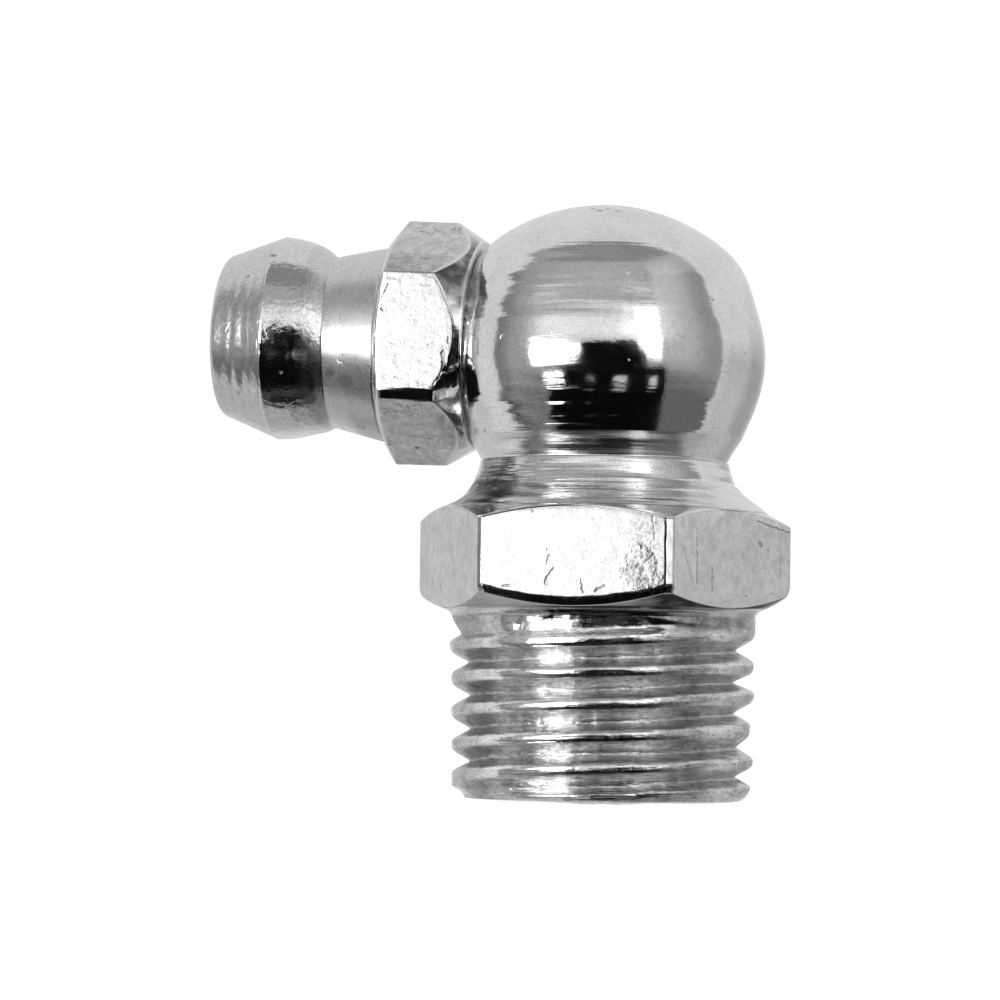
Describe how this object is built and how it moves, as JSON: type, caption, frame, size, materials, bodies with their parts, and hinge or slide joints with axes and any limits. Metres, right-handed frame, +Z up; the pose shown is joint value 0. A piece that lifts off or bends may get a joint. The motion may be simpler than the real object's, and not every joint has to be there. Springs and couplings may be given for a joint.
{
  "type": "angle grease nipple",
  "caption": "Right-angle grease nipple: threaded stem, hexagon flange and ball head, with a hexagon-shouldered grease head on its side holding a sprung check ball.",
  "frame": {"origin": "centre of the free end face of the connecting thread", "axes": "+Z up the thread axis towards the ball head, the side nipple pointing towards -X, +Y to complete the right-handed frame"},
  "size_m": [0.0193, 0.0108, 0.0199],
  "materials": {
    "body_plate": "bright plated, turned",
    "nipple_plate": "bright plated, turned",
    "ball_steel": "polished bearing ball",
    "spring_steel": "drawn wire"
  },
  "bodies": {
    "fitting": {"angle_body": "body_plate", "side_nipple": "nipple_plate", "check_spring": "spring_steel"},
    "valve_ball": {"check_ball": "ball_steel"}
  },
  "joints": [
    {"name": "ball_lift", "type": "slide", "parent": "fitting", "child": "valve_ball", "axis": [0.999, 0, -0.0436], "range_m": [0, 0.0008], "stiffness_N_per_m": 1300, "springref_m": -0.001, "deforming": ["check_spring"]}
  ]
}
